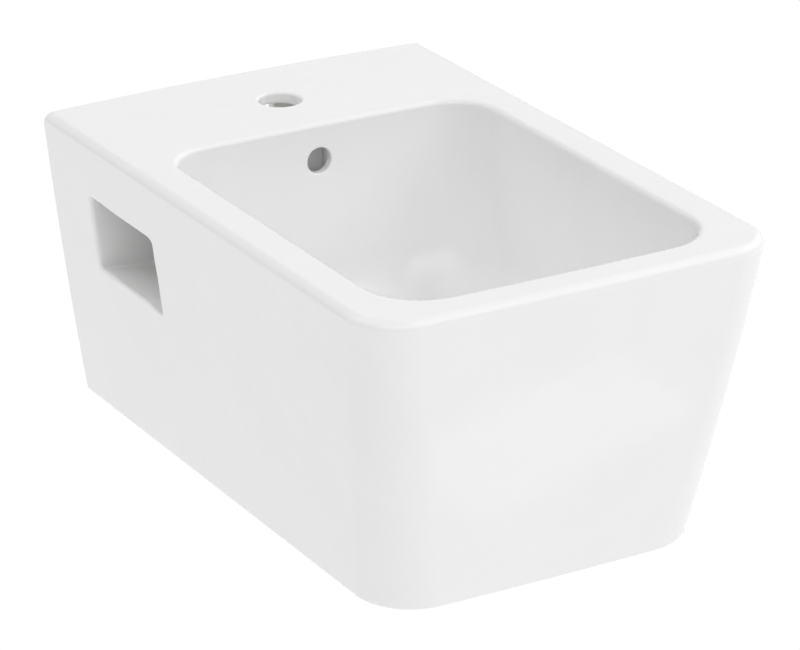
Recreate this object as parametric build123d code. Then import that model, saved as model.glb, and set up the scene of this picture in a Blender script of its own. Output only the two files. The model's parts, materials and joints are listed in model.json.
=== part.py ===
from build123d import *
import os
import math

# ---------------------------------------------------------------------------
# Wall-hung bidet. Millimetres, +Z up.
# Origin: on the finished wall (plane y = 0), half-way between the two wall
# studs. The object hangs in front of the wall, towards -Y.
# ---------------------------------------------------------------------------

# -- ceramic body, outside --------------------------------------------------
deck_z = 88.0            # deck and rim above the stud line
body_height = 260.0      # rim to underside
top_width = 365.0        # across the rim
top_depth = 540.0        # wall to front of the rim
base_width = 292.6
base_depth = 500.0
corner_top = 41.0        # plan radius of the front corners at the rim
corner_base = 47.5
rim_round = 10.0         # fillet round the outer top edge
base_round = 6.0
side_bow = 1.85          # outward bow of the skirt at mid height
front_bow = 2.2          # plan bow of the front face
skin = 10.0              # thickness of the cast walls
deck_skin = 10.5

# -- bowl --------------------------------------------------------------------
# (depth below the rim, half width, y of back wall, y of front wall, radius of the back corners, radius of the front corners)
bowl_sections = [
    (0.0, 144.4, -140.5, -507.0, 36.0, 47.5),
    (60.0, 142.4, -142.0, -501.0, 43.0, 52.0),
    (115.0, 137.0, -146.5, -483.0, 56.0, 60.0),
    (165.0, 128.0, -154.0, -456.0, 70.0, 70.0),
]
bowl_floor = 165.0       # below the rim
bowl_cove = 44.0         # fillet between walls and floor
lip_round = 4.5          # fillet between rim and bowl
drain_y = -265.0         # waste axis
dish_radius = 74.0       # shallow cone towards the waste
dish_drop = 3.0
drain_hole_r = 23.0
drain_seat_r = 33.0
drain_seat_drop = 2.6
boss_r = 40.0            # drain boss under the floor
boss_bottom = 206.0      # below the rim

# -- tap hole and overflow ----------------------------------------------------
tap_y = -74.0
tap_r = 17.5
overflow_depth = 33.0    # below the rim
overflow_r = 11.0
duct_half = 14.0         # overflow duct, half width
duct_y = (-133.0, -121.0)
duct_wall = 9.0
duct_floor = (178.0, 191.0)   # duct level under the bowl, below the rim

# -- side windows and pockets ----------------------------------------------------
win_y = (-181.0, -70.5)
win_top = -52.0          # relative to the rim
sill_x, sill_z = 168.0, -117.6   # outer edge of the sill, relative to the rim
sill_slope = 0.128       # the pocket floor falls towards the middle
win_corner = 4.0
win_corner_front = 9.0
web = 9.0                # thickness of the pocket webs
pocket_inner_x = 50.0    # the webs end here, the middle stays open for the tap tails
panel_t = 10.0           # rear panel against the wall
panel_bottom = -136.0    # relative to the rim
panel_arch = (30.0, 50.0)        # half width of its cut-out, at the top and at the bottom
panel_arch_z = -55.0     # the cut-out widens below this level

# -- underside opening ---------------------------------------------------------
well_half = 110.0
well_y = -335.0
well_corner = 30.0

# -- wall fixings -----------------------------------------------------------------
stud_pitch = 180.0
stud_r = 6.0
stud_back = 45.0         # length of stud behind the finished wall
stud_front = 92.0        # length in front of the wall
stud_front_r = 5.8       # thread that carries the nut
stud_shank_r = 5.43      # plain shank between the two threads
stud_thread = 34.0       # length of the front thread
stud_key = 6.0           # hexagon socket in the end of the stud
fix_boss_r = 23.0
fix_hole_r = 12.0
sleeve_r = 11.7
sleeve_bore = 6.3
sleeve_len = 40.0
sleeve_flange_r = 17.5
sleeve_flange = 3.0
washer_r = 15.0
washer_bore = 6.5
washer_t = 2.5
nut_flats = 18.0
nut_h = 10.8
nut_bore = 6.05
cap_r = 17.2
cap_inner = 15.4
cap_len = 24.0

# -- waste valve (depths are below the rim) -----------------------------------------
flange_r = 31.5
flange_top = 167.0
flange_under = 169.1
throat_r = 18.6
thread_r = 20.955        # G 1 1/4 outside the tail
neck_r = 22.4
tail_end = 250.0
slot_w = 12.0
slot_levels = (179.5, 189.5)
hub_r = 8.0
hub_levels = (194.0, 200.0)
spoke_w = 3.0
seal_inner = 23.3
seal_outer = 32.0

plug_lift = 8.0          # travel of the push-open plug
cap_rim_r = 30.5
stem_r = 3.0
collar_r = 4.5
cartridge_r = 6.5
cartridge_bore = 4.9
cartridge_top = 176.0
spring_r = 3.9
spring_wire = 0.8
spring_turns = 4.0

stud_x = stud_pitch / 2
Z0 = deck_z              # height of the rim plane


def zc(depth):
    """height of a level given as depth below the rim"""
    return Z0 - depth


# ---------------------------------------------------------------------------
# Ceramic body
# ---------------------------------------------------------------------------
def skirt_section(z, half_w, y_back, y_front, r, bow):
    """plan outline, square at the wall, rounded at the front corners"""
    with BuildSketch(Plane.XY.offset(z)) as sk:
        with BuildLine():
            Polyline((-half_w, y_front + bow), (-half_w, y_back), (half_w, y_back), (half_w, y_front + bow))
            ThreePointArc((half_w, y_front + bow), (0, y_front), (-half_w, y_front + bow))
        make_face()
        fillet(sk.vertices().group_by(Axis.Y)[0], r)
    return sk.sketch.face()


def skirt(inset, z_lo, z_hi, y_back):
    """the tapering outer form, or the same form pulled in by inset"""
    def at(z):
        f = (Z0 - z) / body_height
        bulge = side_bow * 4 * f * (1 - f)
        hw = top_width / 2 + (base_width - top_width) / 2 * f + bulge - inset
        yf = -(top_depth + (base_depth - top_depth) * f + bulge - inset)
        r = corner_top + (corner_base - corner_top) * f
        return skirt_section(z, hw, y_back, yf, max(r - inset, 5), front_bow)
    return loft([at(z_lo), at((z_lo + z_hi) / 2), at(z_hi)])


def bowl_section(z, hw, yb, yf, r_back, r_front):
    with BuildSketch(Plane.XY.offset(z)) as sk:
        with Locations((0, (yb + yf) / 2)):
            Rectangle(2 * hw, yb - yf)
        fillet(sk.vertices().group_by(Axis.Y)[-1], r_back)
        fillet([v for v in sk.vertices() if abs(v.Y - yf) < 0.1], r_front)
    return sk.sketch.face()


def bowl_form(grow, top, cove, drop=0.0):
    secs = []
    for d, hw, yb, yf, rb, rf in reversed(bowl_sections):
        secs.append(bowl_section(zc(d + drop), hw + grow, yb + grow, yf - grow, rb + grow, rf + grow))
    body = loft(secs)
    if top > 0:
        d, hw, yb, yf, rb, rf = bowl_sections[0]
        cap = extrude(bowl_section(zc(d + drop), hw + grow, yb + grow, yf - grow, rb + grow, rf + grow), top)
        body = body + cap
    low = body.edges().group_by(Axis.Z)[0]
    return fillet(low, cove)


outer = skirt(0.0, zc(body_height), zc(0), 6.0)
top_edges = [e for e in outer.edges().group_by(Axis.Z)[-1] if e.center().Y < -1]
outer = fillet(top_edges, rim_round)
low_edges = [e for e in outer.edges().group_by(Axis.Z)[0] if e.center().Y < -1]
outer = fillet(low_edges, base_round)

bowl = bowl_form(0.0, 0.0, bowl_cove)
bowl_shell = bowl_form(skin, 0.0, bowl_cove + skin, drop=skin)

cavity = skirt(skin, zc(body_height - skin), zc(deck_skin), 5.0)
cavity = cavity - bowl_shell

# everything cast inside the cavity is kept within the inner form of the skirt
inner_form = skirt(skin - 0.5, zc(body_height - skin), zc(deck_skin - 1), 0.0)


def block(x0, x1, y0, y1, z0, z1):
    return Pos((x0 + x1) / 2, (y0 + y1) / 2, (z0 + z1) / 2) * Box(abs(x1 - x0), abs(y1 - y0), abs(z1 - z0))


def plate_xz(points, y0, y1):
    """flat plate from (x, height) points, between two planes facing the wall"""
    with BuildSketch(Plane(Vector(0, y1, 0), x_dir=(1, 0, 0), z_dir=(0, -1, 0))) as sk:
        with BuildLine():
            Polyline(*points, close=True)
        make_face()
    return extrude(sk.sketch, abs(y1 - y0))


def sill(x):
    """height of the pocket floor at a distance from the middle"""
    return Z0 + sill_z - sill_slope * (sill_x - x)


def rod(r, p, q):
    """cylinder of radius r from p to q"""
    a, b = Vector(*p), Vector(*q)
    return extrude(Plane(a, z_dir=b - a) * Circle(r), (b - a).length)


webs = []
floors = []
for s in (-1, 1):
    x_in, x_out = s * pocket_inner_x, s * (top_width / 2)
    # pocket floor, front wall and rear wall, level with the window's edges
    xi, xo, top = abs(x_in), abs(x_out), zc(deck_skin - 1)
    floor_plate = plate_xz([(s * xi, sill(xi) - web), (s * xo, sill(xo) - web), (s * xo, sill(xo)), (s * xi, sill(xi))], win_y[0] - web, win_y[1] + web)
    floors.append(floor_plate)
    webs.append(floor_plate)
    webs.append(plate_xz([(s * 105, sill(105) - web), (s * xo, sill(xo) - web), (s * xo, top), (s * 105, top)], win_y[0] - web, win_y[0]))
    webs.append(plate_xz([(s * xi, sill(xi) - web), (s * xo, sill(xo) - web), (s * xo, top), (s * xi, top)], win_y[1], win_y[1] + web))
    # rear panel with its half of the arched cut-out
    lo = Z0 + panel_bottom
    webs.append(plate_xz([(s * panel_arch[1], lo), (s * xo, lo), (s * xo, top), (s * panel_arch[0], top), (s * panel_arch[0], Z0 + panel_arch_z)], -panel_t, 3.0))
    # boss that carries the clamping force of the nut straight to the wall
    webs.append(rod(fix_boss_r, (s * stud_x, win_y[1] + 1, 0), (s * stud_x, 3, 0)))
# overflow duct behind the bowl and under its floor, and the drain boss
duct_out = duct_half + duct_wall
webs.append(block(-duct_out, duct_out, duct_y[0] - 8, duct_y[1] + duct_wall, zc(duct_floor[1] + duct_wall), zc(deck_skin - 1)))
webs.append(block(-duct_out, duct_out, drain_y, duct_y[1] + duct_wall, zc(duct_floor[1] + duct_wall), zc(bowl_floor + 2)))
webs.append(Pos(0, drain_y, zc(boss_bottom)) * Cylinder(boss_r, boss_bottom - bowl_floor - 2, align=(Align.CENTER, Align.CENTER, Align.MIN)))

webs_all = webs[0]
for w in webs[1:]:
    webs_all = webs_all + w
cavity = cavity - (webs_all & inner_form)

body = outer - cavity
body = body - bowl
body = body - block(-300, 300, 0, 20, zc(400), zc(-50))

# lip between rim and bowl
lip = [e for e in body.edges() if abs(e.center().Z - Z0) < 0.01 and abs(e.bounding_box().min.X) < 146 and abs(e.bounding_box().max.X) < 146
       and e.bounding_box().min.Y > -508 and e.bounding_box().max.Y < -138]
body = fillet(lip, lip_round)

# opening under the body, from the wall to beyond the waste
with BuildSketch(Plane.XY.offset(zc(body_height) - 1)) as well:
    with BuildLine():
        Polyline((-well_half, 1), (-well_half, well_y), (well_half, well_y), (well_half, 1), close=True)
    make_face()
    fillet(well.vertices().group_by(Axis.Y)[0], well_corner)
body = body - extrude(well.sketch, skin + 2)

# tap hole
body = body - Pos(0, tap_y, Z0 - 10) * Cylinder(tap_r, 60)
# overflow hole, duct, drain
body = body - rod(overflow_r, (0, bowl_sections[0][2] - 30, zc(overflow_depth)), (0, duct_y[0] + 2, zc(overflow_depth)))
body = body - block(-duct_half, duct_half, duct_y[0], duct_y[1], zc(duct_floor[1]), zc(overflow_depth - overflow_r - 3))
body = body - block(-duct_half, duct_half, drain_y, duct_y[1], zc(duct_floor[1]), zc(duct_floor[0]))
body = body - Pos(0, drain_y, zc(duct_floor[1])) * Cylinder(boss_r - 9, duct_floor[1] - duct_floor[0], align=(Align.CENTER, Align.CENTER, Align.MIN))
body = body - Pos(0, drain_y, zc(boss_bottom + 5)) * Cylinder(drain_hole_r, 80, align=(Align.CENTER, Align.CENTER, Align.MIN))
dish = Pos(0, drain_y, zc(bowl_floor + dish_drop)) * Cone(drain_seat_r, dish_radius, dish_drop, align=(Align.CENTER, Align.CENTER, Align.MIN))
seat = Pos(0, drain_y, zc(bowl_floor + dish_drop + drain_seat_drop)) * Cylinder(drain_seat_r, dish_drop + drain_seat_drop, align=(Align.CENTER, Align.CENTER, Align.MIN))
body = body - dish - seat

# fixing holes through the bosses
for s in (-1, 1):
    body = body - rod(fix_hole_r, (s * stud_x, win_y[1] - 2, 0), (s * stud_x, 2, 0))

# side windows; the pocket floor is left standing and forms the sill
for i, s in enumerate((-1, 1)):
    w_lo, w_hi = Z0 + sill_z - 2.5, Z0 + win_top
    with BuildSketch(Plane.YZ) as w:
        with BuildLine():
            Polyline((win_y[0], w_lo), (win_y[1], w_lo), (win_y[1], w_hi), (win_y[0], w_hi), close=True)
        make_face()
        front_top = [v for v in w.vertices() if abs(v.Y - win_y[0]) < 0.1 and abs(v.Z - w_hi) < 0.1]
        fillet(front_top, win_corner_front)
        rest = [v for v in w.vertices() if abs(v.Y - win_y[1]) < 0.1 or (abs(v.Y - win_y[0]) < 0.1 and abs(v.Z - w_lo) < 0.1)]
        fillet(rest, win_corner)
    cut = Pos(125 if s > 0 else -185, 0, 0) * extrude(w.sketch, 60)
    keep = block(s * 148, s * 190, win_y[0] - 5, win_y[1] + 5, w_lo - 5, w_hi + 5)
    body = body - ((cut & keep) - floors[i])

# ---------------------------------------------------------------------------
# Wall fixings: stud, sleeve, washer, nut and cap on both sides
# ---------------------------------------------------------------------------
face_y = win_y[1]                     # front of the fixing web


def both(make):
    return Compound(children=[make(-stud_x), make(stud_x)])


def along_y(x, y, profile):
    """turned piece about the stud's axis from (radius, distance towards the room) points"""
    with BuildSketch(Plane.XY) as sk:
        with BuildLine():
            Polyline(*[(r, -d) for r, d in profile], close=True)
        make_face()
    turned = revolve(sk.sketch, Axis.Y)
    return Pos(x, y, 0) * turned


def hexagon(x, y0, y1, flats):
    plane = Plane(Vector(x, y0, 0), x_dir=(0, 0, 1), z_dir=(0, -1, 0))
    return extrude(plane * RegularPolygon(flats / 2, 6, major_radius=False), y0 - y1)


def make_stud(x):
    c = 1.2
    end = -stud_front
    head = stud_front - stud_thread
    rod_ = along_y(x, 0, [(0, -stud_back), (stud_r - c, -stud_back), (stud_r, -stud_back + c), (stud_r, 0), (stud_shank_r, 0.6), (stud_shank_r, head),
                          (stud_front_r, head + 0.4), (stud_front_r, stud_front - c), (stud_front_r - c, stud_front), (0, stud_front)])
    return (rod_ - hexagon(x, end + 6, end - 1, stud_key)).solid()


def make_sleeve(x):
    return along_y(x, face_y, [(sleeve_bore, -sleeve_len), (sleeve_r - 0.8, -sleeve_len), (sleeve_r, -sleeve_len + 0.8), (sleeve_r, 0), (sleeve_flange_r, 0), (sleeve_flange_r, sleeve_flange - 0.6),
                               (sleeve_flange_r - 0.6, sleeve_flange), (sleeve_bore, sleeve_flange)]).solid()


washer_y = face_y - sleeve_flange
nut_y = washer_y - washer_t


def make_washer(x):
    return along_y(x, washer_y, [(washer_bore, 0), (washer_r, 0), (washer_r, washer_t - 0.4), (washer_r - 0.4, washer_t), (washer_bore, washer_t)]).solid()


def make_nut(x):
    blank = hexagon(x, nut_y, nut_y - nut_h, nut_flats)
    crown = nut_flats / 2 * 0.98
    tip = nut_flats / 2 / math.cos(math.pi / 6)
    drop = (tip - crown) * math.tan(math.radians(30))
    form = along_y(x, nut_y, [(0, 0), (crown, 0), (tip + 0.2, drop), (tip + 0.2, nut_h - drop), (crown, nut_h), (0, nut_h)])
    hole = along_y(x, nut_y, [(0, -1), (nut_bore, -1), (nut_bore, nut_h + 1), (0, nut_h + 1)])
    return ((blank & form) - hole).solid()


def make_cap(x):
    return along_y(x, washer_y, [(cap_inner, 0), (cap_r, 0), (cap_r, cap_len - 4), (cap_r - 1.2, cap_len - 1.2), (cap_r - 4, cap_len), (0, cap_len), (0, cap_len - 2), (cap_inner - 3.5, cap_len - 2), (cap_inner, cap_len - 5)]).solid()


# ---------------------------------------------------------------------------
# Waste valve on the drain's axis
# ---------------------------------------------------------------------------
def turned(profile):
    """turned piece about the waste's axis from (radius, depth below the rim) points"""
    with BuildSketch(Plane.XZ) as sk:
        with BuildLine():
            Polyline(*[(r, zc(d)) for r, d in profile], close=True)
        make_face()
    return Pos(0, drain_y, 0) * revolve(sk.sketch, Axis.Z)


waste_body = turned([
    (flange_r, flange_under), (flange_r, flange_top + 0.6), (flange_r - 0.6, flange_top), (flange_r - 1.9, flange_top),
    (24.0, flange_top + 0.5), (21.4, flange_top + 1.6), (19.6, flange_top + 4.0), (throat_r, flange_top + 7.0),
    (throat_r, tail_end), (thread_r - 1.0, tail_end), (thread_r, tail_end - 1.0), (thread_r, tail_end - 20.0), (thread_r - 0.6, tail_end - 20.6), (thread_r - 0.6, tail_end - 21.6), (thread_r, tail_end - 22.2), (thread_r, 178.0), (neck_r, 176.5), (neck_r, flange_under),
])
for i in range(4):
    slot = Box(60, slot_w, slot_levels[1] - slot_levels[0], align=(Align.MIN, Align.CENTER, Align.MAX))
    waste_body = waste_body - Pos(0, drain_y, zc(slot_levels[0])) * Rot(0, 0, 45 + 90 * i) * slot
hub = turned([(4.6, hub_levels[0]), (hub_r, hub_levels[0]), (hub_r, hub_levels[1]), (4.6, hub_levels[1])])
for i in range(3):
    spoke = Box(throat_r + 0.8 - hub_r + 0.8, spoke_w, hub_levels[1] - hub_levels[0], align=(Align.MIN, Align.CENTER, Align.MAX))
    hub = hub + Pos(0, drain_y, zc(hub_levels[0])) * Rot(0, 0, 90 + 120 * i) * Pos(hub_r - 0.8, 0, 0) * spoke
waste_body = (waste_body + hub).solid()

flange_seal = turned([(seal_inner, flange_under), (seal_outer - 0.4, flange_under), (seal_outer, flange_under + 0.4), (seal_outer, bowl_floor + dish_drop + drain_seat_drop), (seal_inner, bowl_floor + dish_drop + drain_seat_drop)]).solid()
lower_seal = turned([(21.2, 203.0), (22.3, 203.0), (22.6, boss_bottom), (30.0, boss_bottom), (30.0, boss_bottom + 3), (27.5, boss_bottom + 8), (21.2, boss_bottom + 8)]).solid()
slip_washer = turned([(21.3, boss_bottom + 8), (29.0, boss_bottom + 8), (29.0, boss_bottom + 10), (21.3, boss_bottom + 10)]).solid()
nut_form = turned([(21.05, boss_bottom + 10), (29.5, boss_bottom + 10), (31.4, boss_bottom + 11.1), (31.4, boss_bottom + 19.9), (29.5, boss_bottom + 21), (21.05, boss_bottom + 21)])
nut_blank = extrude(Plane(Vector(0, drain_y, zc(boss_bottom + 10)), z_dir=(0, 0, -1)) * RegularPolygon(27.5, 6, major_radius=False), 11)
lock_nut = (nut_form & nut_blank).solid()

cartridge_floor = 193.0
click_cartridge = turned([(0, cartridge_floor), (cartridge_bore, cartridge_floor), (cartridge_bore, cartridge_top + 2.0), (cartridge_r, cartridge_top + 2.0), (cartridge_r, hub_levels[0]), (4.5, hub_levels[0]),
                          (4.5, hub_levels[1] + 4), (3.7, hub_levels[1] + 4.8), (0, hub_levels[1] + 4.8)]).solid()
guide_bush = turned([(stem_r + 0.1, cartridge_top), (cartridge_r, cartridge_top), (cartridge_r, cartridge_top + 2.0), (cartridge_bore - 0.05, cartridge_top + 2.0), (cartridge_bore - 0.05, cartridge_top + 4.0), (stem_r + 0.1, cartridge_top + 4.0)]).solid()

# the plug is drawn raised: everything on it is plug_lift above its closed place
lift = plug_lift
cap_under = flange_top - 0.5 - lift
plug_cap = turned([
    (0, cap_under - 4.6), (9.0, cap_under - 4.4), (18.0, cap_under - 3.7), (25.0, cap_under - 2.6), (29.2, cap_under - 1.4), (cap_rim_r, cap_under - 0.5), (cap_rim_r, cap_under),
    (28.6, cap_under), (24.0, cap_under - 1.0), (17.5, cap_under - 1.9), (15.6, cap_under - 1.9), (14.8, cap_under - 1.5), (14.8, cap_under + 4.5), (16.4, cap_under + 4.5), (16.4, cap_under + 5.3), (8.0, cap_under + 5.3), (8.0, cap_under + 4.1),
    (stem_r + 0.05, cap_under + 4.1), (stem_r + 0.05, cap_under - 1.0), (0, cap_under - 1.0),
]).solid()
plug_seal = turned([(14.9, cap_under + 2.2), (17.6, cap_under + 2.2), (18.9, cap_under + 2.9), (19.2, cap_under + 3.6), (18.8, cap_under + 4.4), (14.9, cap_under + 4.4)]).solid()
collar_top = cartridge_top + 4.3
plug_stem = turned([(0, cap_under - 0.9), (stem_r, cap_under - 0.9), (stem_r, collar_top), (collar_r, collar_top), (collar_r, collar_top + 2.0), (0, collar_top + 2.0)]).solid()

spring_top = collar_top + 2.1
spring_end = cartridge_floor - 0.1
spring_h = spring_end - spring_top - spring_wire
helix = Helix(spring_h / spring_turns, spring_h, spring_r)
with BuildPart() as sp:
    with BuildLine():
        add(helix)
    with BuildSketch(Plane(helix @ 0, z_dir=helix % 0)):
        Circle(spring_wire / 2)
    sweep(is_frenet=True)
cartridge_spring = (Pos(0, drain_y, zc(spring_end - spring_wire / 2)) * sp.part).solid()

parts = {
    "ceramic_body": body.solid(),
    "wall_studs": both(make_stud),
    "stud_sleeves": both(make_sleeve),
    "stud_washers": both(make_washer),
    "stud_nuts": both(make_nut),
    "nut_caps": both(make_cap),
    "waste_body": waste_body,
    "flange_seal": flange_seal,
    "lower_seal": lower_seal,
    "slip_washer": slip_washer,
    "lock_nut": lock_nut,
    "click_cartridge": click_cartridge,
    "guide_bush": guide_bush,
    "cartridge_spring": cartridge_spring,
    "plug_stem": plug_stem,
    "plug_cap": plug_cap,
    "plug_seal": plug_seal,
}

os.makedirs("parts", exist_ok=True)
for name, piece in parts.items():
    export_step(piece, f"parts/{name}.step")
    print(f"{name:18s} solids {len(piece.solids())}  volume {piece.volume:12.1f} mm3  valid {piece.is_valid}")
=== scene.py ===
import json
import math
import bpy
import numpy as np
from mathutils import Matrix, Vector


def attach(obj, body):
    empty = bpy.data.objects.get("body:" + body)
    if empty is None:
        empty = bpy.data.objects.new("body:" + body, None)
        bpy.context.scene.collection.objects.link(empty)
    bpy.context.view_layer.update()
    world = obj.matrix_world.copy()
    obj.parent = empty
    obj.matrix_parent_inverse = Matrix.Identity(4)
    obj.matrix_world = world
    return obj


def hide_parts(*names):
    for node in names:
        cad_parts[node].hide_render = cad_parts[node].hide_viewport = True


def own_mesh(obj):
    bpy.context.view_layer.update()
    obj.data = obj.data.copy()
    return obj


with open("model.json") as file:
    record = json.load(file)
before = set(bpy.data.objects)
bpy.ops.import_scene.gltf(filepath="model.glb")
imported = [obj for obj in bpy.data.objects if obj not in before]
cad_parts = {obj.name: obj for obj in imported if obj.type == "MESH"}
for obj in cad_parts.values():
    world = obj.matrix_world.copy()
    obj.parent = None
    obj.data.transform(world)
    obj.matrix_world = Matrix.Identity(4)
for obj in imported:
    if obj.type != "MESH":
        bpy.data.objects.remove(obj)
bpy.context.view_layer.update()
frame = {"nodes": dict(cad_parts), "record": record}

# ---------------------------------------------------------------------------
# Wall-hung bidet, the looks. Metres, same frame as the construction model:
# origin on the wall between the studs, +Z up, -Y into the room.
# The ceramic is described by a distance field in millimetres whose zero
# height is the rim; RIM lifts it to the shared frame.
# ---------------------------------------------------------------------------
RIM = 88.0
MM = 0.001


# ---------------------------------------------------------------------------
# Ceramic: distance field
# ---------------------------------------------------------------------------

def rmax(a, b, r):
    return np.minimum(np.maximum(a, b), -r) + np.hypot(np.maximum(a + r, 0), np.maximum(b + r, 0))

def rmin(a, b, r):
    return -rmax(-a, -b, r)

def step(t):
    t = np.clip(t, 0, 1)
    return t * t * (3 - 2 * t)

def rrect(a, b, r):
    """distance to a rounded corner from signed offsets a, b past the arc centre"""
    return np.hypot(np.maximum(a, 0), np.maximum(b, 0)) + np.minimum(np.maximum(a, b), 0) - r

DEPTH = np.array([0.0, 60.0, 115.0, 165.0])
HALF = np.array([144.4, 142.4, 137.0, 128.0])
BACK = np.array([-140.5, -142.0, -146.5, -154.0])
FRONT = np.array([-507.4, -501.0, -483.0, -456.0])
CORNER_B = np.array([36.0, 43.0, 56.0, 70.0])
CORNER_F = np.array([47.5, 52.0, 60.0, 70.0])
CUBIC = [np.polyfit(DEPTH, v, 3) for v in (HALF, BACK, FRONT, CORNER_B, CORNER_F)]

SKIN, DRAIN_Y, STUD_X, STUD_Z = 10.0, -265.0, 90.0, -88.0
WIN_F, WIN_R, WIN_TOP = -181.0, -70.5, -54.5

def outer_nb(x, y, z):
    """outer form, running on through the wall plane; also the side distance alone"""
    ax = np.abs(x)
    f = np.clip(-z / 260.0, -0.1, 1.1)
    bul = 4 * 1.85 * f * (1 - f)
    w = 182.5 - 36.2 * f + bul
    D = 540.0 - 40.0 * f + bul - 2.2 * (x / w) ** 2
    r = 41.0 + 6.5 * f
    d2 = rrect(ax - (w - r), -y - (D - r), r) * 0.99
    top = z + 2.91 * (x / 182.5) ** 2 * (1 + np.clip(y, -540, 0) / 540.0)
    d = rmax(d2, top, 9.6)
    return rmax(d, -260.0 - z, 6.0), d2, top

def bowl_d(x, y, z, grow=0.0):
    ax = np.abs(x)
    d = np.clip(-z, -5, 175.0)
    hw, yb, yf, rb, rf = [np.polyval(c, d) for c in CUBIC]
    yf = yf + 2.0 * (x / 144.4) ** 2 * np.clip(1 + z / 120.0, 0, 1)
    rc = np.where(y > -300.0, rb, rf)
    dy = np.where(y > -300.0, y - (yb - rb), yf + rf - y)
    d2 = rrect(ax - (hw - rc), dy, rc) * 0.985
    rho2 = (x * x + (y - DRAIN_Y) ** 2) / 70.0 ** 2
    floor = (-165.0 - 3.3 / (1 + rho2 * rho2)) - z
    return rmax(d2 - grow, floor - grow, 44.0 + grow)

def cyl_y(x, y, z, cx, cz, r, y0, y1):
    return np.maximum(np.hypot(x - cx, z - cz) - r, np.maximum(y0 - y, y - y1))

def slab(ax, x0, x1):
    return np.maximum(x0 - ax, ax - x1)

def ceramic(x, y, z):
    ax = np.abs(x)
    onb, d2, top = outer_nb(x, y, z)
    bowl = bowl_d(x, y, z)
    shell = bowl_d(x, y, z, SKIN)
    inner = -np.minimum(rmax(rmax(d2 + SKIN, top + 10.5, 6.0), -250.0 - z, 8.0), 1e9)   # <0 in the cast wall
    # side windows: the skin is cut past the webs, whose faces then form the opening
    win = np.maximum(np.maximum(WIN_F - 3.0 - y, y - (WIN_R + 3.0)), np.maximum(-124.0 - z, z - WIN_TOP))
    win = np.maximum(win, 120.0 - ax)
    skin = rmax(inner, -win, 2.0)
    m = rmin(skin, shell, 6.0)
    floor_top = -117.6 - 0.128 * (168.0 - ax) - 2.6 * step((-146.0 - y) / 26.0)
    fl = np.maximum(np.maximum(z - floor_top, floor_top - 9.0 - z), np.maximum(50.0 - ax, np.maximum(WIN_F - 9.0 - y, y - (WIN_R + 9.0))))
    low = -126.6 - 0.128 * (168.0 - ax)
    rear = np.maximum(np.maximum(WIN_R - y, y - (WIN_R + 9.0)), np.maximum(50.0 - ax, low - z))
    front = np.maximum(np.maximum(WIN_F - 9.0 - y, y - WIN_F), np.maximum(105.0 - ax, low - z))
    m = rmin(m, rear, 4.0)
    m = rmin(m, fl, 4.0)
    m = rmin(m, front, 4.0 + 5.0 * step((z + 95.0) / 30.0))
    # rear panel with an arched cut-out for pipes
    arch = 30.0 + 20.0 * np.clip((-55.0 - z) / 81.0, 0, 1.1)
    panel = rmax(rmax(arch - ax, -136.0 - z, 6.0), -10.0 - y, 1.5)
    m = rmin(m, panel, 4.0)
    boss = np.maximum(np.hypot(ax - STUD_X, z - STUD_Z) - 23.0, WIN_R + 1.0 - y)
    m = rmin(m, boss, 5.0)
    duct = np.maximum(np.maximum(ax - 23.0, np.maximum(-141.0 - y, y + 112.0)), -200.0 - z)
    duct2 = np.maximum(np.maximum(ax - 23.0, np.maximum(DRAIN_Y - y, y + 112.0)), np.maximum(-200.0 - z, z + 163.0))
    m = rmin(m, rmin(duct, duct2, 2.0), 5.0)
    rho = np.hypot(x, y - DRAIN_Y)
    db = np.maximum(rho - 40.0, np.maximum(-206.0 - z, z + 163.0))
    m = rmin(m, rmax(db, -206.0 - z, 1.5), 5.0)
    # edges where openings meet the outside: soft round the windows, crisper at the wall
    near = step((np.abs(ax) - 140.0) / 12.0) * step((-y - 30.0) / 25.0) * step((y + 230.0) / 25.0)
    re = 1.3 + near * (1.3 + 1.5 * step((y + 115.0) / 30.0))
    d = rmax(rmax(onb, y, 1.6), m, re)
    d = rmax(d, -bowl, 4.5)
    # cuts
    wr = 30.0
    well = rrect(ax - (110.0 - wr), -y - (335.0 - wr), wr)
    d = rmax(d, -np.maximum(well, z + 244.0), 3.0)
    tap = np.maximum(np.hypot(x, y + 74.0) - 17.5, -30.0 - z)
    d = rmax(d, -tap, 2.6)
    ov = cyl_y(x, y, z, 0.0, -32.5, 11.0, -176.0, -127.0)
    d = rmax(d, -ov, 1.4)
    d = rmax(d, -cyl_y(x, y, z, 0.0, -32.5, 13.5, -133.5, -127.0), 0.5)
    dv = np.maximum(np.maximum(ax - 14.0, np.maximum(-133.0 - y, y + 121.0)), np.maximum(-191.0 - z, z + 19.0))
    dh = np.maximum(np.maximum(ax - 14.0, np.maximum(DRAIN_Y - y, y + 121.0)), np.maximum(-191.0 - z, z + 178.0))
    ring = np.maximum(rho - 31.0, np.maximum(-191.0 - z, z + 178.0))
    d = rmax(d, -np.minimum(np.minimum(dv, dh), ring), 1.5)
    hole = np.maximum(rho - 23.0, -215.0 - z)
    d = rmax(d, -np.maximum(hole, z + 150.0), 1.5)
    seat = np.maximum(rho - 33.0, np.maximum(-170.6 - z, z + 150.0))
    d = rmax(d, -seat, 1.2)
    fix = cyl_y(ax, y, z, STUD_X, STUD_Z, 12.0, -80.0, 10.0)
    d = rmax(d, -fix, 1.2)
    return d
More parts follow.
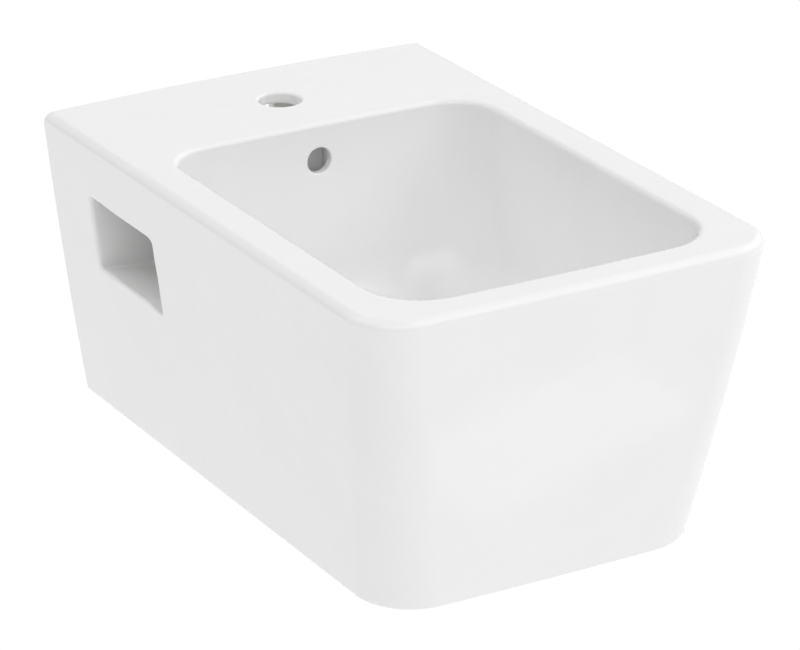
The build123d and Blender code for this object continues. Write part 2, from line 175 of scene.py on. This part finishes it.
def surface_nets(gx,gy,gz,F):
    """vertices, quads of the zero surface on a rectilinear grid"""
    nx,ny,nz=F.shape
    S=F<0
    def cross(axis):
        a=np.take(F,range(0,F.shape[axis]-1),axis); b=np.take(F,range(1,F.shape[axis]),axis)
        return (a<0)!=(b<0)
    # accumulate crossing points per cell
    cnt=np.zeros((nx-1,ny-1,nz-1),np.int8); acc=np.zeros((nx-1,ny-1,nz-1,3),np.float64)
    G=(gx,gy,gz)
    edges=[]
    for ax in range(3):
        c=cross(ax); idx=np.argwhere(c)
        i,j,k=idx.T
        o=[0,0,0]; o[ax]=1
        f0=F[i,j,k]; f1=F[i+o[0],j+o[1],k+o[2]]
        t=f0/(f0-f1)
        p=np.stack([gx[i],gy[j],gz[k]],1).astype(float)
        g=G[ax]; ii=(i,j,k)[ax]
        p[:,ax]=g[ii]+(g[ii+1]-g[ii])*t
        u,v=(ax+1)%3,(ax+2)%3
        for du in (0,1):
            for dv in (0,1):
                q=idx.copy(); q[:,u]-=du; q[:,v]-=dv
                ok=(q[:,u]>=0)&(q[:,v]>=0)&(q[:,u]<(nx-1,ny-1,nz-1)[u])&(q[:,v]<(nx-1,ny-1,nz-1)[v])
                np.add.at(cnt,tuple(q[ok].T),1); np.add.at(acc,tuple(q[ok].T),p[ok])
        edges.append((ax,idx,f0<0))
    act=cnt>0
    ids=-np.ones(cnt.shape,np.int64); ids[act]=np.arange(act.sum())
    V=acc[act]/cnt[act][:,None]
    cells=np.argwhere(act)
    quads=[]
    for ax,idx,neg in edges:
        u,v=(ax+1)%3,(ax+2)%3
        ok=(idx[:,u]>0)&(idx[:,v]>0)&(idx[:,u]<F.shape[u]-1)&(idx[:,v]<F.shape[v]-1)
        idx=idx[ok]; neg=neg[ok]
        c=[]
        for du,dv in ((1,1),(0,1),(0,0),(1,0)):
            q=idx.copy(); q[:,u]-=du; q[:,v]-=dv
            c.append(ids[tuple(q.T)])
        q=np.stack(c,1)
        q[~neg]=q[~neg][:,::-1]
        quads.append(q)
    return V,np.concatenate(quads),cells
def grad(f,P,h=0.02):
    g=np.empty_like(P)
    for a in range(3):
        d=np.zeros(3); d[a]=h
        g[:,a]=(f(*(P+d).T)-f(*(P-d).T))/(2*h)
    return g
def project(f,P,n=4,cap=None):
    for _ in range(n):
        g=grad(f,P); v=f(*P.T)
        s=v/np.maximum((g*g).sum(1),0.05)
        d=-g*s[:,None]
        L=np.linalg.norm(d,axis=1)
        m=np.minimum(1,2.0/np.maximum(L,1e-9))
        P=P+d*m[:,None]
    return P


# ---------------------------------------------------------------------------
# Ceramic: mesh of the zero surface
# ---------------------------------------------------------------------------
def grid_lines(spec):
    out = []
    for a, b, h in spec:
        n = max(1, int(round(abs(b - a) / h)))
        out += list(np.linspace(a, b, n, endpoint=False))
    return np.array(out + [spec[-1][1]])


def new_mesh(name, verts, faces):
    me = bpy.data.meshes.new(name)
    me.from_pydata([tuple(v) for v in verts], [], [tuple(int(i) for i in f) for f in faces])
    me.validate()
    me.update()
    return me


def new_object(name, me):
    ob = bpy.data.objects.new(name, me)
    bpy.context.scene.collection.objects.link(ob)
    return ob


def verts_of(me):
    a = np.empty(len(me.vertices) * 3, dtype=np.float32)
    me.vertices.foreach_get("co", a)
    return a.reshape(-1, 3).astype(np.float64)


def apply_modifiers(ob):
    dg = bpy.context.evaluated_depsgraph_get()
    me = bpy.data.meshes.new_from_object(ob.evaluated_get(dg))
    old = ob.data
    ob.modifiers.clear()
    ob.data = me
    bpy.data.meshes.remove(old)
    return me


def build_ceramic():
    gx = grid_lines([(0, 22, 2.0), (22, 56, 2.6), (56, 134, 5.5), (134, 152, 1.3), (152, 170, 2.2), (170, 184.6, 1.2)])
    gy = grid_lines([(-541.6, -524, 1.3), (-524, -512, 2.5), (-512, -498, 1.2), (-498, -330, 6), (-330, -300, 4), (-300, -230, 2.4), (-230, -200, 5),
                     (-200, -170, 1.5), (-170, -150, 3), (-150, -134, 1.2), (-134, -97, 2.4), (-97, -52, 1.5), (-52, -14, 4.5), (-14, -4, 1.6), (-4, 1.2, 0.7)])
    gz = grid_lines([(-261.2, -246, 1.2), (-246, -210, 5), (-210, -160, 1.8), (-160, -144, 4), (-144, -110, 1.4), (-110, -62, 4.5), (-62, -46, 1.4), (-46, -40, 2), (-40, -14, 1.6), (-14, 1.0, 0.9)])
    X, Y, Z = np.meshgrid(gx, gy, gz, indexing="ij")
    F = ceramic(X, Y, Z)
    del X, Y, Z
    gx = np.concatenate([-gx[:0:-1], gx])
    F = np.concatenate([F[:0:-1], F])
    V, Q, _ = surface_nets(gx, gy, gz, F)
    V = project(ceramic, V, 3)
    me = new_mesh("ceramic_form", V, Q)
    ob = new_object("ceramic_shell", me)
    dec = ob.modifiers.new("dec", "DECIMATE")
    dec.decimate_type = "COLLAPSE"
    dec.ratio = min(1.0, 186000.0 / (2.0 * len(Q)))
    dec.use_collapse_triangulate = True
    me = apply_modifiers(ob)
    P = project(ceramic, verts_of(me), 3)
    N = grad(ceramic, P)
    N /= np.maximum(np.linalg.norm(N, axis=1), 1e-9)[:, None]
    x, y, z = P.T
    onb, d2, top = outer_nb(x, y, z)
    bowl = bowl_d(x, y, z)
    hidden = step((-onb - 5.5) / 4.0) * step((bowl - 5.5) / 4.0)
    pocket = step((-y - 62.0) / 5.0) * step((y + 186.0) / 5.0) * step((z + 138.0) / 8.0) * step((np.abs(x) - 96.0) / 16.0)
    back = step((y + 0.9) / 0.5)
    foot = step((-258.9 - z) / 0.8) * step((-d2 - 4.0) / 2.5)
    # glaze also runs down the tap hole and through the overflow and its duct
    tap = step((20.5 - np.hypot(x, y + 74.0)) / 1.5) * step((z + 15.0) / 3.0)
    duct = step((16.5 - np.abs(x)) / 1.5) * step((-y - 119.5) / 1.0) * step((y + 285.0) / 5.0)
    hidden = hidden * (1 - pocket) * (1 - tap) * (1 - duct)
    bare = np.clip(np.maximum(np.maximum(hidden, back), foot), 0, 1)
    P[:, 2] += RIM
    me.vertices.foreach_set("co", (P * MM).astype(np.float32).ravel())
    att = me.attributes.new("bare", "FLOAT", "POINT")
    att.data.foreach_set("value", bare.astype(np.float32))
    for p in me.polygons:
        p.use_smooth = True
    me.update()
    me.normals_split_custom_set_from_vertices([tuple(n) for n in N])
    print("ceramic: vertices", len(me.vertices), "faces", len(me.polygons))
    return ob


# ---------------------------------------------------------------------------
# Materials. Noise is placed in object space, in millimetres.
# ---------------------------------------------------------------------------
class Nodes:
    def __init__(self, name):
        self.mat = bpy.data.materials.new(name)
        self.mat.use_nodes = True
        self.t = self.mat.node_tree
        self.t.nodes.clear()
        self.out = self.t.nodes.new("ShaderNodeOutputMaterial")
        self.bsdf = self.t.nodes.new("ShaderNodeBsdfPrincipled")
        self.t.links.new(self.bsdf.outputs["BSDF"], self.out.inputs["Surface"])
        tc = self.t.nodes.new("ShaderNodeTexCoord")
        mp = self.t.nodes.new("ShaderNodeMapping")
        mp.inputs["Scale"].default_value = (1000.0, 1000.0, 1000.0)
        self.t.links.new(tc.outputs["Object"], mp.inputs["Vector"])
        self.co = mp.outputs["Vector"]

    def link(self, a, b):
        if hasattr(a, "links"):
            self.t.links.new(a, b)
        elif hasattr(b, "default_value"):
            b.default_value = a
        return b

    def put(self, socket, value):
        s = self.bsdf.inputs[socket]
        if hasattr(value, "is_output"):
            self.t.links.new(value, s)
        else:
            s.default_value = value

    def place(self, scale=(1, 1, 1), offset=(0, 0, 0)):
        m = self.t.nodes.new("ShaderNodeMapping")
        m.inputs["Scale"].default_value = scale
        m.inputs["Location"].default_value = offset
        self.t.links.new(self.co, m.inputs["Vector"])
        return m.outputs["Vector"]

    def noise(self, scale, detail=3.0, rough=0.55, vec=None, distort=0.0):
        n = self.t.nodes.new("ShaderNodeTexNoise")
        n.inputs["Scale"].default_value = scale
        n.inputs["Detail"].default_value = detail
        n.inputs["Roughness"].default_value = rough
        n.inputs["Distortion"].default_value = distort
        self.t.links.new(vec or self.co, n.inputs["Vector"])
        return n.outputs["Fac"]

    def cells(self, scale, vec=None, feature="F1", out="Distance"):
        n = self.t.nodes.new("ShaderNodeTexVoronoi")
        n.feature = feature
        n.inputs["Scale"].default_value = scale
        self.t.links.new(vec or self.co, n.inputs["Vector"])
        return n.outputs[out]

    def math(self, op, a, b=0.0, clamp=False):
        n = self.t.nodes.new("ShaderNodeMath")
        n.operation = op
        n.use_clamp = clamp
        for i, v in enumerate((a, b)):
            if hasattr(v, "is_output"):
                self.t.links.new(v, n.inputs[i])
            else:
                n.inputs[i].default_value = v
        return n.outputs[0]

    def remap(self, v, a, b, c, d):
        n = self.t.nodes.new("ShaderNodeMapRange")
        for i, x in enumerate((a, b, c, d)):
            n.inputs[i + 1].default_value = x
        self.t.links.new(v, n.inputs[0])
        return n.outputs[0]

    def mix(self, f, a, b):
        n = self.t.nodes.new("ShaderNodeMix")
        n.data_type = "RGBA"
        if hasattr(f, "is_output"):
            self.t.links.new(f, n.inputs[0])
        else:
            n.inputs[0].default_value = f
        for i, v in ((6, a), (7, b)):
            if hasattr(v, "is_output"):
                self.t.links.new(v, n.inputs[i])
            else:
                n.inputs[i].default_value = (*v, 1.0)
        return n.outputs[2]

    def attr(self, name):
        n = self.t.nodes.new("ShaderNodeAttribute")
        n.attribute_name = name
        return n.outputs["Fac"]

    def bump(self, height, distance, strength=1.0, after=None):
        n = self.t.nodes.new("ShaderNodeBump")
        n.inputs["Strength"].default_value = strength
        n.inputs["Distance"].default_value = distance
        self.t.links.new(height, n.inputs["Height"])
        if after is not None:
            self.t.links.new(after, n.inputs["Normal"])
        return n.outputs["Normal"]


def glazed_china():
    n = Nodes("glazed_china")
    bare = n.attr("bare")
    # the edge of the glaze wanders a little and runs thin
    wander = n.noise(0.22, 3.0)
    mask = n.math("MULTIPLY", n.math("SUBTRACT", n.math("ADD", bare, n.remap(wander, 0.3, 0.7, -0.22, 0.22)), 0.38), 4.0, clamp=True)
    tone = n.noise(0.011, 2.0)
    cloud = n.noise(0.055, 3.0)
    glaze = n.mix(n.remap(tone, 0.3, 0.7, 0, 1), GLAZE_A, GLAZE_B)
    glaze = n.mix(n.remap(cloud, 0.35, 0.75, 0.0, 0.35), glaze, GLAZE_C)
    # iron specks, rare and pin-sized
    speck = n.cells(0.16)
    keep = n.math("GREATER_THAN", n.noise(0.09, 0.0), 0.735)
    dot = n.math("MULTIPLY", n.remap(speck, 0.022, 0.05, 1.0, 0.0), keep)
    glaze = n.mix(n.math("MULTIPLY", dot, 0.35), glaze, (0.42, 0.36, 0.29))
    grain = n.noise(1.7, 4.0, 0.6)
    stain = n.noise(0.03, 4.0)
    clay = n.mix(n.remap(grain, 0.3, 0.7, 0, 1), (0.755, 0.75, 0.737), (0.82, 0.815, 0.802))
    clay = n.mix(n.remap(stain, 0.5, 0.8, 0.0, 0.5), clay, (0.70, 0.69, 0.665))
    n.put("Base Color", n.mix(mask, glaze, clay))
    smear = n.noise(0.035, 4.0, 0.65)
    gloss = n.remap(smear, 0.3, 0.75, 0.045, 0.115)
    rough = n.t.nodes.new("ShaderNodeMix")
    n.t.links.new(mask, rough.inputs[0])
    n.t.links.new(gloss, rough.inputs[2])
    n.t.links.new(n.remap(grain, 0.3, 0.7, 0.72, 0.9), rough.inputs[3])
    n.put("Roughness", rough.outputs[0])
    n.put("IOR", 1.53)
    wave = n.noise(0.045, 2.0, 0.4)
    peel = n.noise(0.33, 2.0, 0.45)
    b = n.bump(wave, 0.00035, 0.55)
    b = n.bump(peel, 0.00002, 0.35, b)
    sand = n.math("MULTIPLY", n.noise(2.6, 5.0, 0.7), mask)
    b = n.bump(sand, 0.00012, 0.8, b)
    n.put("Normal", b)
    return n.mat


def chrome_plate():
    n = Nodes("chrome_plate")
    n.put("Metallic", 1.0)
    tone = n.noise(0.05, 3.0)
    n.put("Base Color", n.mix(n.remap(tone, 0.3, 0.7, 0, 1), (0.80, 0.815, 0.83), (0.87, 0.875, 0.88)))
    smudge = n.noise(0.14, 5.0, 0.65)
    n.put("Roughness", n.remap(smudge, 0.35, 0.8, 0.045, 0.17))
    hair = n.noise(1.6, 6.0, 0.7, n.place((0.25, 3.0, 3.0)))
    n.put("Normal", n.bump(n.math("ADD", hair, n.math("MULTIPLY", n.noise(0.3, 2.0), 3.0)), 0.000012, 0.5))
    return n.mat


def zinc_steel():
    n = Nodes("zinc_steel")
    n.put("Metallic", 1.0)
    tone = n.noise(0.11, 4.0)
    c = n.mix(n.remap(tone, 0.3, 0.7, 0, 1), (0.50, 0.515, 0.53), (0.66, 0.67, 0.675))
    rust = n.noise(0.5, 5.0, 0.7)
    c = n.mix(n.remap(rust, 0.66, 0.8, 0.0, 0.35), c, (0.46, 0.40, 0.30))
    n.put("Base Color", c)
    n.put("Roughness", n.remap(n.noise(0.9, 4.0, 0.6), 0.3, 0.75, 0.22, 0.46))
    n.put("Normal", n.bump(n.noise(3.2, 4.0, 0.6), 0.00002, 0.5))
    return n.mat


def grey_nylon():
    n = Nodes("grey_nylon")
    tone = n.noise(0.13, 3.0)
    n.put("Base Color", n.mix(n.remap(tone, 0.3, 0.7, 0, 1), (0.27, 0.275, 0.285), (0.34, 0.345, 0.35)))
    n.put("Roughness", n.remap(n.noise(0.6, 4.0), 0.3, 0.7, 0.42, 0.58))
    n.put("Normal", n.bump(n.noise(4.0, 3.0, 0.6), 0.00003, 0.6))
    return n.mat


def white_plastic():
    n = Nodes("white_plastic")
    tone = n.noise(0.09, 3.0)
    c = n.mix(n.remap(tone, 0.3, 0.7, 0, 1), (0.74, 0.74, 0.725), (0.80, 0.80, 0.79))
    dust = n.noise(0.7, 6.0, 0.75)
    n.put("Base Color", n.mix(n.remap(dust, 0.55, 0.85, 0.0, 0.3), c, (0.60, 0.585, 0.55)))
    n.put("Roughness", n.remap(n.noise(0.5, 4.0), 0.3, 0.7, 0.30, 0.46))
    n.put("IOR", 1.49)
    n.put("Normal", n.bump(n.noise(2.8, 3.0, 0.6), 0.00002, 0.6))
    return n.mat


def black_rubber():
    n = Nodes("black_rubber")
    bloom = n.noise(0.35, 5.0, 0.7)
    n.put("Base Color", n.mix(n.remap(bloom, 0.4, 0.75, 0.0, 1.0), (0.018, 0.018, 0.02), (0.055, 0.054, 0.052)))
    n.put("Roughness", n.remap(bloom, 0.3, 0.75, 0.58, 0.82))
    n.put("Normal", n.bump(n.noise(2.2, 4.0, 0.65), 0.00005, 0.7))
    return n.mat


def bare_brass():
    n = Nodes("bare_brass")
    n.put("Metallic", 1.0)
    tone = n.noise(0.16, 4.0)
    c = n.mix(n.remap(tone, 0.3, 0.7, 0, 1), (0.66, 0.47, 0.20), (0.80, 0.61, 0.31))
    tarnish = n.noise(0.45, 5.0, 0.7)
    n.put("Base Color", n.mix(n.remap(tarnish, 0.55, 0.8, 0.0, 0.55), c, (0.36, 0.24, 0.12)))
    n.put("Roughness", n.remap(n.noise(0.8, 4.0, 0.6), 0.3, 0.75, 0.20, 0.42))
    turning = n.noise(2.4, 2.0, 0.5, n.place((0.15, 0.15, 2.4)))
    n.put("Normal", n.bump(turning, 0.00002, 0.6))
    return n.mat


def spring_steel():
    n = Nodes("spring_steel")
    n.put("Metallic", 1.0)
    n.put("Base Color", n.mix(n.remap(n.noise(0.8, 3.0), 0.3, 0.7, 0, 1), (0.48, 0.48, 0.48), (0.63, 0.63, 0.64)))
    n.put("Roughness", n.remap(n.noise(2.0, 3.0), 0.3, 0.7, 0.2, 0.36))
    n.put("Normal", n.bump(n.noise(5.0, 2.0), 0.00001, 0.5))
    return n.mat


GLAZE_A = (0.862, 0.862, 0.862)
GLAZE_B = (0.878, 0.878, 0.876)
GLAZE_C = (0.855, 0.855, 0.852)
MATS = {f.__name__: f() for f in (glazed_china, chrome_plate, zinc_steel, grey_nylon, white_plastic, black_rubber, bare_brass, spring_steel)}
SLOT = {s["node"]: s["material_slot"] for s in frame["record"]["subparts"]}


# ---------------------------------------------------------------------------
# Camera at the photograph's angle
# ---------------------------------------------------------------------------
def rotation(v):
    a = np.linalg.norm(v)
    k = v / a
    K = np.array([[0, -k[2], k[1]], [k[2], 0, -k[0]], [-k[1], k[0], 0]])
    return np.eye(3) + math.sin(a) * K + (1 - math.cos(a)) * (K @ K)


R = rotation(np.array([1.91926736, -0.509938186, 0.338249216]))
C = -R.T @ np.array([-75.9461589, -210.96397, 3533.50655])
cam = bpy.data.cameras.new("camera")
cam.sensor_width = 36.0
cam.sensor_fit = "HORIZONTAL"
cam.lens = math.exp(8.34404576) / 800.0 * 36.0
cam.shift_x = (400.0 - 327.18518) / 800.0
cam.shift_y = (324.18186 - 325.0) / 800.0
cam.clip_start, cam.clip_end = 0.05, 100.0
camera = bpy.data.objects.new("camera", cam)
bpy.context.scene.collection.objects.link(camera)
M = Matrix.Identity(4)
for i in range(3):
    M[i][0], M[i][1], M[i][2] = R[0][i], -R[1][i], -R[2][i]
    M[i][3] = (C[i] + (RIM if i == 2 else 0.0)) * MM
camera.matrix_world = M
bpy.context.scene.camera = camera


# ---------------------------------------------------------------------------
# Pieces
# ---------------------------------------------------------------------------
for name, mat in SLOT.items():
    ob = frame["nodes"][name]
    ob = ob if hasattr(ob, "data") else bpy.data.objects[name]
    ob.data.materials.clear()
    ob.data.materials.append(MATS[mat])

shell = build_ceramic()
shell.data.materials.append(MATS["glazed_china"])
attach(shell, "body")
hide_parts("ceramic_body")

# the spring of the waste, which is pressed together as the plug goes down, gets a mesh of its own
coil = frame["nodes"]["cartridge_spring"]
coil = coil if hasattr(coil, "data") else bpy.data.objects["cartridge_spring"]
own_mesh(coil)


# ---------------------------------------------------------------------------
# Floor, light
# ---------------------------------------------------------------------------
FLOOR = -0.95


def floor_material():
    """white floor lit from within, so that no shadow falls on it"""
    n = Nodes("floor_paint")
    tone = n.mix(n.noise(0.002, 2.0), (1.0, 1.0, 1.0), (0.985, 0.985, 0.985))
    n.put("Base Color", (0.0, 0.0, 0.0, 1.0))
    n.put("Roughness", 1.0)
    n.put("Specular IOR Level", 0.0)
    n.put("Emission Color", tone)
    n.put("Emission Strength", FLOOR_GLOW)
    return n.mat


FLOOR_GLOW = 1.02
me = new_mesh("floor", [(-30, -30, FLOOR), (30, -30, FLOOR), (30, 30, FLOOR), (-30, 30, FLOOR)], [(0, 1, 2, 3)])
floor = new_object("floor", me)
floor.data.materials.append(floor_material())


def direction(az, el):
    """unit vector; azimuth 0 is the user's side (-Y), 90 the right (+X)"""
    a, e = math.radians(az), math.radians(el)
    return (math.sin(a) * math.cos(e), -math.cos(a) * math.cos(e), math.sin(e))


def studio_world(base, lobes):
    """soft sky: an even base and round lobes (azimuth, elevation, sharpness, strength)"""
    w = bpy.data.worlds.new("studio")
    w.use_nodes = True
    t = w.node_tree
    bg = t.nodes["Background"]
    tc = t.nodes.new("ShaderNodeTexCoord")
    total = None
    for az, el, k, s in lobes:
        dot = t.nodes.new("ShaderNodeVectorMath")
        dot.operation = "DOT_PRODUCT"
        t.links.new(tc.outputs["Generated"], dot.inputs[0])
        dot.inputs[1].default_value = direction(az, el)
        ex = t.nodes.new("ShaderNodeMath")
        ex.operation = "MULTIPLY_ADD"
        t.links.new(dot.outputs["Value"], ex.inputs[0])
        ex.inputs[1].default_value = k
        ex.inputs[2].default_value = -k
        p = t.nodes.new("ShaderNodeMath")
        p.operation = "EXPONENT"
        t.links.new(ex.outputs[0], p.inputs[0])
        m = t.nodes.new("ShaderNodeMath")
        m.operation = "MULTIPLY_ADD"
        t.links.new(p.outputs[0], m.inputs[0])
        m.inputs[1].default_value = s
        if total is None:
            m.inputs[2].default_value = base
        else:
            t.links.new(total, m.inputs[2])
        total = m.outputs[0]
    if total is not None:
        t.links.new(total, bg.inputs["Strength"])
    else:
        bg.inputs["Strength"].default_value = base
    bg.inputs["Color"].default_value = (1.0, 1.0, 1.0, 1.0)
    bpy.context.scene.world = w
    return w


def area(name, at, aim, size, size_y, radiance, turn=0.0):
    """soft box whose face glows with the given radiance"""
    d = bpy.data.lights.new(name, "AREA")
    d.shape = "RECTANGLE"
    d.size, d.size_y = size, size_y
    d.energy = radiance * size * size_y * math.pi
    o = bpy.data.objects.new(name, d)
    bpy.context.scene.collection.objects.link(o)
    o.location = at
    q = (Vector(aim) - Vector(at)).to_track_quat("-Z", "Y").to_matrix() @ Matrix.Rotation(turn, 3, "Z")
    o.rotation_euler = q.to_euler()
    o.visible_camera = False
    return o


def spot(name, at, aim, radius, cone, radiance):
    """small round lamp that only lights a narrow cone (degrees)"""
    d = bpy.data.lights.new(name, "SPOT")
    d.shadow_soft_size = radius
    d.spot_size = math.radians(cone)
    d.spot_blend = 1.0
    d.energy = radiance * 4.0 * math.pi * math.pi * radius * radius
    o = bpy.data.objects.new(name, d)
    bpy.context.scene.collection.objects.link(o)
    o.location = at
    o.rotation_euler = (Vector(aim) - Vector(at)).to_track_quat("-Z", "Y").to_euler()
    o.visible_camera = False
    return o


SKY = [
    (216.0, 62.0, 12.0, 0.785),
    (288.0, 62.0, 12.0, 0.615),
    (0.0, 38.0, 12.0, 1.345),
    (45.0, 38.0, 12.0, 1.519),
    (90.0, 38.0, 12.0, 2.127),
    (135.0, 38.0, 12.0, 0.061),
    (180.0, 38.0, 12.0, 0.198),
    (225.0, 38.0, 12.0, 1.303),
    (315.0, 38.0, 12.0, 1.597),
    (80.0, 14.0, 12.0, 0.249),
    (120.0, 14.0, 12.0, 1.011),
    (160.0, 14.0, 12.0, 0.530),
    (200.0, 14.0, 12.0, 0.244),
    (240.0, 14.0, 12.0, 0.089),
]
studio_world(0.0, SKY)
area("floor_glow", (0.69, -1.4, FLOOR + 0.02), (0.69, -1.4, 1.0), 0.42, 0.20, 0.5, math.radians(13.0))
spot("lamp_1", (-0.438, -1.551, 1.567), (0.098, -0.159, -0.049), 0.085, 2.6, 5.0)
spot("lamp_2", (-0.271, -0.142, 2.307), (0.098, -0.177, -0.064), 0.15, 2.6, 4.0)

bpy.context.scene.view_settings.view_transform = "Standard"
bpy.context.scene.view_settings.look = "None"
bpy.context.scene.view_settings.exposure = 0.0
bpy.context.scene.view_settings.gamma = 1.0
